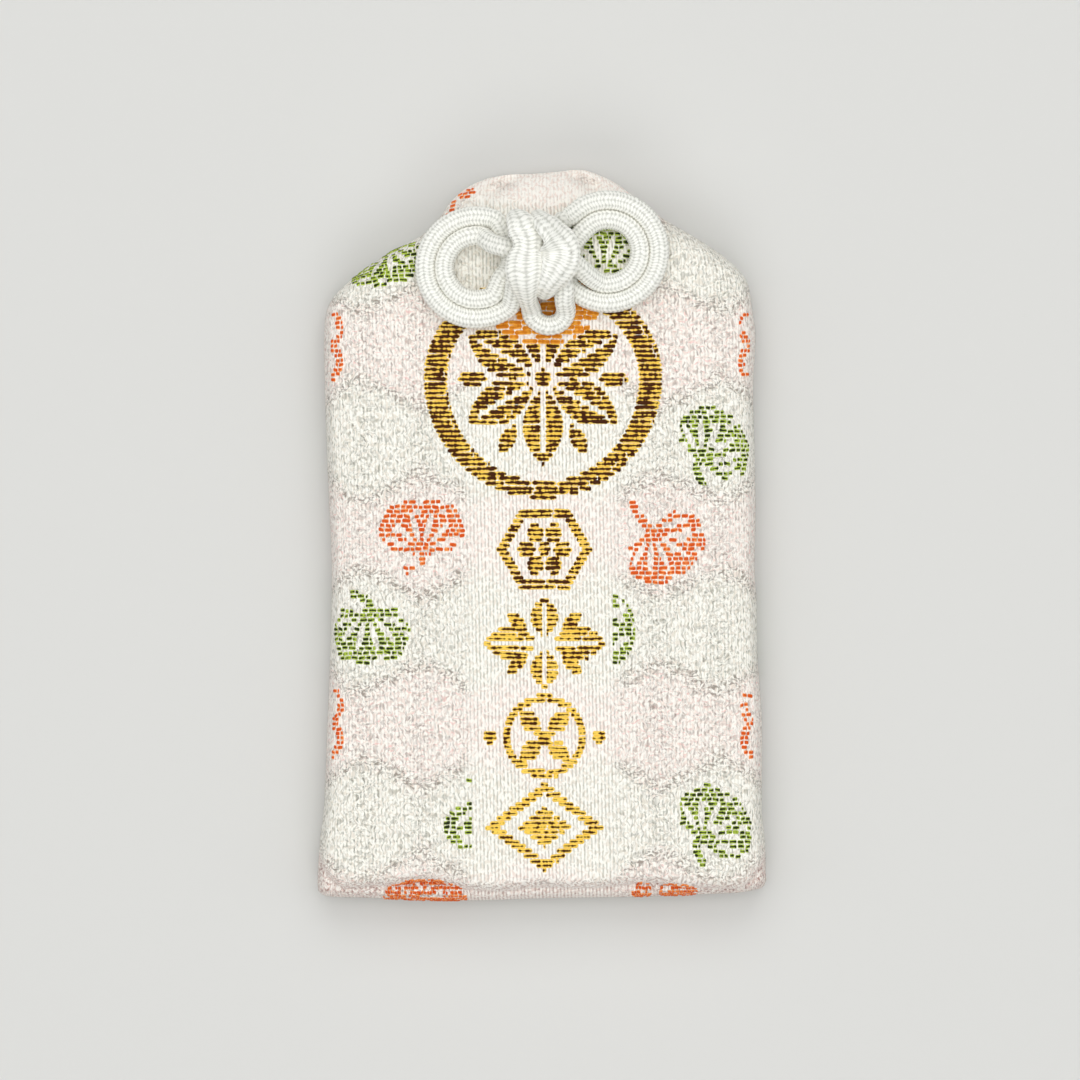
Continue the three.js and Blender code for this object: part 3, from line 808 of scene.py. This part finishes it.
def float_finish(name, edge, core, roughness, gloss, low, high, brightening=0.0):
    """Silk or gilt weft, bright at the edges of each float, with painted shade along its middle. Where
    brightening is given, the bright colour comes through in patches, more towards the hem."""
    finish = Finish(name)
    crest = point_value(finish, "crest")
    lay = finish.noise(finish.object_place((2600, 1100, 2600)), 2.0)
    # Painted shade: the colour darkens towards each float's crest, broken up by the lay of the threads.
    depth = crest * 0.8 + (lay - 0.5) * 1.6
    if brightening:
        place = finish.object_place((1 / MM, 1 / MM, 1 / MM))
        height = finish.node("ShaderNodeSeparateXYZ", {}, {"Vector": place}, "Y")
        patches = finish.noise(finish.object_place((190, 150, 190)), 2.0)
        depth = depth - (patches * 1.2 - height / 60).eased(0.3, 1.3) * brightening
    share = depth.eased(low, high)
    finish.feed(finish.shader, {
        "Base Color": finish.between(share, edge, core),
        "Roughness": lay * 0.2 + roughness,
        "Specular IOR Level": gloss,
        "Normal": finish.relief(lay, 0.02 * MM, 0.5),
    })
    return finish


gold = float_finish("gold_weft", colour(252, 212, 92), colour(66, 28, 0),
                    roughness=0.38, gloss=0.12, low=0.24, high=0.46, brightening=0.3)
amber = float_finish("amber_weft", colour(246, 176, 62), colour(214, 124, 14),
                     roughness=0.4, gloss=0.2, low=0.1, high=0.7)
orange = float_finish("orange_weft", colour(251, 160, 88), colour(216, 82, 16),
                      roughness=0.5, gloss=0.2, low=0.1, high=0.6)
green = float_finish("green_weft", colour(178, 200, 70), colour(30, 38, 4),
                     roughness=0.5, gloss=0.2, low=0.3, high=0.6)

gold_floats = []
for figure, low, high in (
        (ring, (-12.5, 3.6), (12.6, 28.6)),
        (rosette, (-9.2, 6.8), (9.3, 25.4)),
        (tortoiseshell((0.2, -1.45)), (-6, -6.4), (6.4, 4)),
        (diamond_flower((0.2, -11.1)), (-7, -16), (7.4, -6)),
        (linked_circles((0.2, -20.7)), (-7, -25.4), (7.4, -16)),
        (nested_lozenge((0.2, -30)), (-6.4, -34.8), (6.8, -25.2))):
    gold_floats += floats_over(figure, low, high, length=3.0, space=0.06)
gold.put_on(weave("gold_weft", gold_floats, "front_panel", 1, half_width=0.29, rise=0.13))
amber_floats = floats_over(disc, (-6.2, 19.2), (6.3, 27.7), length=1.3, space=0.02, drop=0.06)
amber.put_on(weave("amber_weft", amber_floats, "front_panel", 1, half_width=0.27, rise=0.12))

FRONT_LEAVES = {
    "orange": [(-12.4, -1.8, 0, (1, 1)), (11.2, 0.45, -140, (0.2, 2.0))],
    "green": [(-16.7, 31.2, 180, (1, 1)), (6.3, 26.9, 0, (1, 1)), (16.4, 7.6, -40, (-1, 1)),
              (-18.0, -7.75, 180, (-1, 1)), (16.4, -31.4, -40, (-1, 1))],
}
CUT_LEAVES = {
    "orange": [leaf_rim((-25.8, 19.5), -90), leaf_rim((25.5, 19.5), 90), leaf_rim((-25.8, -19.3), -90),
               leaf_rim((25.6, -19.3), 90), patch((-10.6, 34.5), 1.1, 1.8), patch((-8.3, 35.9), 1.2, 0.7),
               patch((11.4, 34.3), 0.6, 0.6)],
    "green": [half_leaf((6.7, -9.75), 2.9, 3.75), half_leaf((-6.6, -30.0), 3.6, 2.5),
              patch((-7.3, -25.3), 0.6, 0.5)],
}
HEM_LEAVES = {
    "orange": [patch((-12.1, -39.0), 4.4, 3.5), patch((10.2, -38.0), 1.1, 1.8),
               patch((14.0, -38.0), 2.05, 1.9)],
    "green": [],
}
LEAF_FLOAT = {"half_width": 0.225, "rise": 0.11}


def plain_ground(across, up):
    """Where leaves may lie: off the ring, and off the plain middle below it."""
    off_ring = np.hypot(across - RING[0], up - RING[1]) > RING_OUTER + 0.4
    return off_ring & ((np.abs(across) > COLUMN_HALF) | (up > 24))


def leaf_floats(foot, upright, stalk=(1, 1), keep=None):
    low, high = np.subtract(foot, LEAF_REACH), np.add(foot, LEAF_REACH)
    return floats_over(leaf(foot, upright, stalk), low, high, length=0.6, space=0.1, drop=0.07, keep=keep)


for name, finish in (("orange", orange), ("green", green)):
    floats = []
    for x, y, upright, stalk in FRONT_LEAVES[name]:
        floats += leaf_floats((x, y), upright, stalk, plain_ground)
    for cut_leaf in CUT_LEAVES[name]:
        floats += floats_over(cut_leaf, (-27, -37), (27, 37), length=0.55, space=0.12, drop=0.12,
                              keep=plain_ground)
    for cut_leaf in HEM_LEAVES[name]:
        floats += floats_over(cut_leaf, (-17, -41), (17, -35), length=0.32, space=0.03, drop=0.2)
    finish.put_on(weave(name + "_weft_front", floats, "front_panel", 1, **LEAF_FLOAT))
    floats = []
    for row in range(-3, 4):
        if (row % 2 == 0) != (name == "orange"):
            continue
        for column in range(-1, 2):
            offset = 0 if row % 4 in (0, 3) else 0.5
            foot = (column + offset) * LEAF_COLUMN + CELL_SHIFT, row * CELL_ROW
            floats += leaf_floats(foot, 45 * (3 * row + 5 * column))
    finish.put_on(weave(name + "_weft_back", floats, "back_panel", -1, **LEAF_FLOAT))


# Seam threads: fine two-ply thread, sewn in running stitches along the inside of the two sides and
# the bottom. It waves up and down from stitch to stitch and holds the panels together.
THREAD_RADIUS = 0.2
THREAD_SIDES = 10
THREAD_STEP = 0.2
THREAD_END = 0.02
PLY_LAY = 0.7
PLY_RISE = 0.2
STITCH = 3.0
STITCH_WAVE = 0.1


def tube(name, line, radius_of, sides, pressed=None):
    """A closed tube along a line. radius_of gives, from the share of a turn and the length along the
    line, the radius and how high the surface stands out of its grooves. pressed gives, along the line,
    the direction that faces out, how wide and how thick the tube is against its round, and how far
    it leans to one side."""
    steps = len(line) - 1
    ahead = np.gradient(line, axis=0)
    ahead /= np.linalg.norm(ahead, axis=1)[:, None]
    side = np.cross(ahead[0], (0.3, 0.2, 1.0))
    sideways = []
    for direction in ahead:
        side = side - direction * (side @ direction)
        side = side / np.linalg.norm(side)
        sideways.append(side)
    sideways = np.array(sideways)
    upwards = np.cross(ahead, sideways)
    run = run_along(line)
    piece, grid = grid_piece(name, sides, steps)
    turn = grid[:, 0]
    at = np.rint(grid[:, 1] * steps).astype(int)
    radius, crest = radius_of(turn, run[at])
    angle = 2 * np.pi * np.where(turn > 1 - 1e-4, 0, turn)
    out = sideways[at] * np.cos(angle)[:, None] + upwards[at] * np.sin(angle)[:, None]
    shift = np.zeros_like(line)
    if pressed is not None:
        outward, width, thickness, lean = pressed
        broad = np.cross(ahead, outward)
        broad /= np.linalg.norm(broad, axis=1)[:, None]
        thin = np.cross(broad, ahead)
        out = (out + broad[at] * (np.sum(out * broad[at], axis=1) * (width - 1)[at])[:, None]
               + thin[at] * (np.sum(out * thin[at], axis=1) * (thickness - 1)[at])[:, None])
        shift = broad * lean[:, None]
    piece.data.vertices.foreach_set("co", ((line[at] + shift[at] + out * radius[:, None]) * MM).ravel())
    piece.data.attributes.new("crest", "FLOAT", "POINT").data.foreach_set("value", crest)
    lay_out(piece, "lay", np.column_stack([turn, run[at]]))
    bpy.ops.object.mode_set(mode="EDIT")
    bpy.ops.mesh.select_all(action="SELECT")
    bpy.ops.mesh.remove_doubles(threshold=1e-6)
    bpy.ops.mesh.fill_holes(sides=sides)
    bpy.ops.object.mode_set(mode="OBJECT")
    face_outwards()
    return piece


def two_ply(turn, along):
    ply = np.abs(np.cos(np.pi * (2 * turn + along / PLY_LAY)))
    return THREAD_RADIUS * (1 - PLY_RISE + PLY_RISE * ply), ply


thread = Finish("spun_thread")
ply_crest = point_value(thread, "crest")
fuzz = thread.noise(thread.object_place((6000, 6000, 6000)))
# Painted shade: the thread darkens into the grooves between its two plies.
thread.feed(thread.shader, {
    "Base Color": thread.between(ply_crest * 0.7 + fuzz * 0.3, colour(206, 198, 190), colour(246, 240, 236)),
    "Roughness": fuzz * 0.15 + 0.7,
})
for node in ("left_seam_thread", "right_seam_thread", "bottom_seam_thread"):
    low, high = (np.array(corner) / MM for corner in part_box(node))
    middle = (low + high) / 2
    axis = int(np.argmax(high - low))
    stitches = round((high - low)[axis] / STITCH)
    waves = np.tile(middle, (2 * stitches + 1, 1))
    waves[:, axis] = np.linspace(low[axis] + THREAD_END, high[axis] - THREAD_END, 2 * stitches + 1)
    waves[:, 2] = middle[2] + STITCH_WAVE * np.where(np.arange(2 * stitches + 1) % 2, 1, -1)
    sewing = tube(node + "_twist", smooth_line(waves, THREAD_STEP), two_ply, THREAD_SIDES)
    thread.put_on(sewing)
    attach(sewing, "pouch")
    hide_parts(node)


# Knot: one white braided silk cord, tied at the neck into two double ears, a small loop and two
# wraps. Its tails go in through two holes in the front and are joined inside.
STRANDS = 10
BRAID_STITCH = 0.35
CORD_CORE = 0.885
CORD_RISE = 0.09
CORD_SIDES = 52
CORD_STEP = 0.095
CORD_TAPER = 1.1
TAIL_STEP = 0.088
TAIL_SHARE = 0.985
WRAP_DROP = 0.45
LAYER = 1.93
KNOT_MIDDLE = (0.3, 28.7)
KNOT_REST = 7.32
LEFT_EAR = (-7.1, -1.25)
RIGHT_EAR = (6.4, 0.38)
OUTER_EAR = 5.27
INNER_EAR = 3.3
LEFT_HOLE = -0.7
RIGHT_HOLE = 1.65
HOLE_ROW = 3.6


def ear_turn(ear, radius, first, last, steps):
    turns = np.radians(np.linspace(first, last, steps + 1))
    return [(ear[0] + radius * math.cos(t), ear[1] + radius * math.sin(t), 0) for t in turns]


right_wrap = [
    (LEFT_HOLE, HOLE_ROW, 0), (-0.72, 3.72, 0.75), (-0.35, 3.45, 1.55), (0.55, 2.95, 2.05), (1.55, 1.9, 2.12),
    (2.05, 0.55, 2.12), (1.85, -0.9, 2.1), (1.11, -2.2, 2.05), (0.25, -3.18, 1.76), (-0.07, -3.66, 0.96),
]
pass_behind = [(-0.01, -3.14, 0.15), (0.25, -1.9, 0), (0.25, -0.6, 0), (-0.39, 0.61, 0), (-1.49, 1.63, 0),
               (-2.37, 2.6, 0.15)]
left_wrap = [
    (-2.81, 3.58, 0.6), (-2.85, 3.75, 1.35), (-2.55, 3.15, 1.95), (-2.3, 2.1, 2.1), (-2.3, 0.9, 2.1),
    (-2.45, -0.4, 2.12), (-2.4, -1.8, 2.1), (-2.18, -3.09, 1.8), (-1.83, -4.47, 1.05),
]
small_loop = [(-1.49, -5.46, 0.23), (-1.21, -6.39, 0), (-0.4, -7.05, 0), (0.6, -7.2, 0), (1.6, -6.75, 0),
              (2.1, -5.75, 0.2), (1.92, -4.57, 0.75)]
lower_pass = [(1.87, -3.14, 0.99), (0.94, -1.89, 0.99), (-0.51, -1.43, 1.01), (-2, -1.57, 1), (-3, -2.5, 0.8),
              (-3.23, -3.83, 0.4)]
left_closing = [(-4.6, 2.82, 0), (-4.04, 1.58, 0), (-3.52, 0.21, 0), (-3.78, -1.31, 0), (-4.63, -2.57, 0)]
middle_pass = [(-5.65, 1.28, 0.59), (-4.32, 0.82, 0.99), (-2.89, 0.55, 1.01), (-1.2, 0.54, 1.01),
               (0.6, 0.45, 1.01), (2.11, -0.2, 1.03), (3.41, -1.2, 0.87), (4.5, -2.15, 0.4)]
right_closing = [(3.9, 2.5, 0), (2.9, 1.2, 0), (2.39, -0.4, 0), (2.4, -1.9, 0)]
after_wraps = [
    *small_loop, *lower_pass,
    *ear_turn(LEFT_EAR, OUTER_EAR, -50, -290, 14), *left_closing,
    *ear_turn(LEFT_EAR, INNER_EAR, -58, -280, 12), *middle_pass,
    *ear_turn(RIGHT_EAR, INNER_EAR, 258, 475, 12), *right_closing,
    *ear_turn(RIGHT_EAR, OUTER_EAR, 222, 495, 15), (RIGHT_HOLE, HOLE_ROW, 0),
]
# Where the wraps are pressed flat: width and thickness against the round cord, and lean to one side.
right_press = np.array([
    (1, 1, 0), (1.05, 1, 0), (1.3, 0.95, 0.1), (1.75, 0.8, 0.35), (2.15, 0.68, 0.6), (2.3, 0.65, 0.7),
    (2.2, 0.68, 0.55), (1.85, 0.75, 0.2), (1.4, 0.9, 0), (1.1, 1, 0),
])
left_press = np.array([
    (1.05, 1, 0), (1.3, 0.95, -0.05), (1.8, 0.8, -0.25), (2.05, 0.75, -0.4), (1.6, 0.58, -0.5),
    (2.1, 0.77, -0.5), (2.15, 0.8, -0.35), (1.7, 0.9, -0.1), (1.05, 1, 0),
])
round_press, ear_press = (1.02, 1, 0), (1.07, 0.97, 0)
cord_press = np.vstack([
    right_press, [round_press] * len(pass_behind), left_press, [ear_press] * len(after_wraps),
])
knot_points = np.array([*right_wrap, *pass_behind, *left_wrap, *after_wraps], float)
knot_points = knot_points * (1, 1, LAYER) + (*KNOT_MIDDLE, KNOT_REST)
knot_path = smooth_line(np.column_stack([knot_points, cord_press]), CORD_STEP)
knot_line = knot_path[:, :3]
to_end = np.linalg.norm(knot_line - knot_line[-1], axis=1)
narrowing = np.sqrt(1 - (1 - np.clip(to_end / CORD_TAPER, 0.02, 1)) ** 2)
second_half = np.arange(len(knot_line)) > len(knot_line) / 2
knot_path[:, 3:5] *= np.where(second_half, narrowing, 1)[:, None]
faces_out = (knot_line - (0, KNOT_MIDDLE[1] - WRAP_DROP, KNOT_REST + LAYER)) * (0, 1, 1)
wraps_end = len(right_wrap) + len(pass_behind) + len(left_wrap)
on_cloth = np.linalg.norm(knot_line - knot_points[wraps_end], axis=1).argmin()
faces_out[on_cloth:] = (0, 0, 1)
hole_row = KNOT_MIDDLE[1] + HOLE_ROW
left_hole, right_hole = KNOT_MIDDLE[0] + LEFT_HOLE, KNOT_MIDDLE[0] + RIGHT_HOLE
tail_line = smooth_line([
    (right_hole + 0.8, hole_row + 0.2, KNOT_REST), (right_hole + 0.45, hole_row + 0.1, 7.25),
    (right_hole + 0.1, hole_row, 6.85), (right_hole, hole_row, 6.1), (right_hole, hole_row, 4.3),
    (right_hole - 0.3, hole_row, 3.1), ((left_hole + right_hole) / 2, hole_row, 2.4),
    (left_hole + 0.3, hole_row, 3.1), (left_hole, hole_row, 4.3), (left_hole, hole_row, 6.1),
    (left_hole, hole_row, 7.3), (left_hole, hole_row, 7.75),
], TAIL_STEP)


def braid(turn, along):
    """A braid of strands that run both ways round, each over two and under two of the others. No two
    stitches are quite as full as each other."""
    stitches = (along + 0.06 * np.sin(along * 2.3) + 0.03 * np.sin(along * 7.1 + 6.3 * turn)) / BRAID_STITCH
    right, left = turn * STRANDS + stitches, turn * STRANDS - stitches
    crest = np.zeros(len(turn))
    for own, other, first in ((right, left, 0), (left, right, 2)):
        middle = np.floor(own) + 0.5
        crossing = (middle + other - first) / 2
        over = crossing % 2
        stitch_number = middle % STRANDS * 12.99 + np.floor(crossing) * 78.23
        fullness = 0.7 + 0.3 * np.modf(np.abs(np.sin(stitch_number)) * 437.6)[0]
        bulge = np.sqrt(np.clip(1 - (2 * (own - middle)) ** 2, 0, 1)) * fullness
        crest = np.maximum(crest, np.where(over < 1, bulge * np.sin(np.pi * np.clip(over, 0, 1)) ** 0.45, 0))
    return CORD_CORE + CORD_RISE * crest, crest


def tail_braid(turn, along):
    """The same braid, drawn a little thinner where it goes into the pouch."""
    radius, crest = braid(turn, along)
    return radius * TAIL_SHARE, crest


silk = Finish("white_braid")
strand_crest = point_value(silk, "crest")
lay_place = silk.node("ShaderNodeUVMap", {"uv_map": "lay"}, {})
drawn_out = silk.node("ShaderNodeMapping", {}, {"Vector": lay_place, "Scale": (30, 9, 1)})
filament = silk.noise(drawn_out, 3.0, 0.6)
# Painted shade: the braid's colour darkens into the grooves between its strands, where the stitches stand
# lowest.
depth_share = (strand_crest + (filament - 0.5) * 0.6).eased(0.05, 0.8)
silk.feed(silk.shader, {
    "Base Color": silk.between(depth_share, colour(208, 207, 197), colour(254, 253, 245)),
    "Roughness": filament * 0.2 + 0.42,
    "Normal": silk.relief(filament, 0.03 * MM, 0.6),
    "Sheen Weight": 0.2,
    "Sheen Roughness": 0.35,
    "Specular IOR Level": 0.45,
})

knot = tube("knot_braid", knot_line, braid, CORD_SIDES, (faces_out, *knot_path[:, 3:].T))
neck_tails = tube("neck_tails", tail_line, tail_braid, CORD_SIDES)
silk.put_on(knot, neck_tails)
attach(knot, "knot")
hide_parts("knot_cord")
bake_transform(neck_tails)
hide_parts("neck_cord")


# Table: a plain matt board, painted pale grey, that the charm lies on with its back down. It is wide
# enough to fill the picture from every side.
TABLE_WIDTH = 1.6
TABLE_TOP = -0.00005
bpy.ops.object.select_all(action="DESELECT")
bpy.ops.mesh.primitive_grid_add(
    x_subdivisions=2, y_subdivisions=2, size=TABLE_WIDTH, location=(0, 0, TABLE_TOP))
table = bpy.context.object
table.name = "table"
bpy.ops.object.transform_apply(location=True)
matt = Finish("pale_grey_board")
matt.feed(matt.shader, {"Base Color": colour(216, 215, 211), "Roughness": 0.9, "Specular IOR Level": 0.1})
matt.put_on(table)


# Light: large soft panels on four sides of the table and one above it, as in a light tent.
# The strongest stands beyond the neck, and a pale room fills the shadows.
def softbox(name, place, size, watts):
    bpy.ops.object.light_add(type="AREA", location=place)
    lamp = bpy.context.object
    lamp.name = name
    lamp.data.shape = "RECTANGLE"
    lamp.data.size, lamp.data.size_y = size
    lamp.data.energy = watts
    lamp.rotation_euler = Vector(place).to_track_quat("Z", "Y").to_euler()


softbox("far_panel", (0, 0.75, 0.8), (1.2, 0.6), 4.6)
softbox("left_panel", (-0.8, 0.05, 0.8), (0.9, 1.3), 2.9)
softbox("right_panel", (0.8, 0.05, 0.8), (0.9, 1.3), 2.9)
softbox("near_panel", (0, -0.8, 0.75), (1.0, 0.5), 3.8)
softbox("overhead_panel", (0, 0.1, 1.3), (0.8, 0.8), 3.5)
world = bpy.data.worlds.new("room")
bpy.context.scene.world = world
world.use_nodes = True
background = world.node_tree.nodes["Background"]
background.inputs["Color"].default_value = (0.9, 0.95, 1.0, 1.0)
background.inputs["Strength"].default_value = 0.25


# Camera: straight above the charm, with the neck at the top of the picture. It stands well back with a
# long lens, and what the picture takes in is measured at the height of the cloth.
VIEW_MIDDLE = (-0.000257, -0.000514)
VIEW_WIDTH = 0.11096
VIEW_DISTANCE = 0.9
SENSOR = 36
camera_place = (*VIEW_MIDDLE, VIEW_DISTANCE + FRONT_HEIGHT * MM)
bpy.ops.object.camera_add(location=camera_place, rotation=(0, 0, 0))
camera = bpy.context.object
camera.data.sensor_width = SENSOR
camera.data.lens = SENSOR * VIEW_DISTANCE / VIEW_WIDTH
camera.data.clip_start = 0.01
bpy.context.scene.camera = camera
bpy.context.scene.view_settings.view_transform = "Standard"
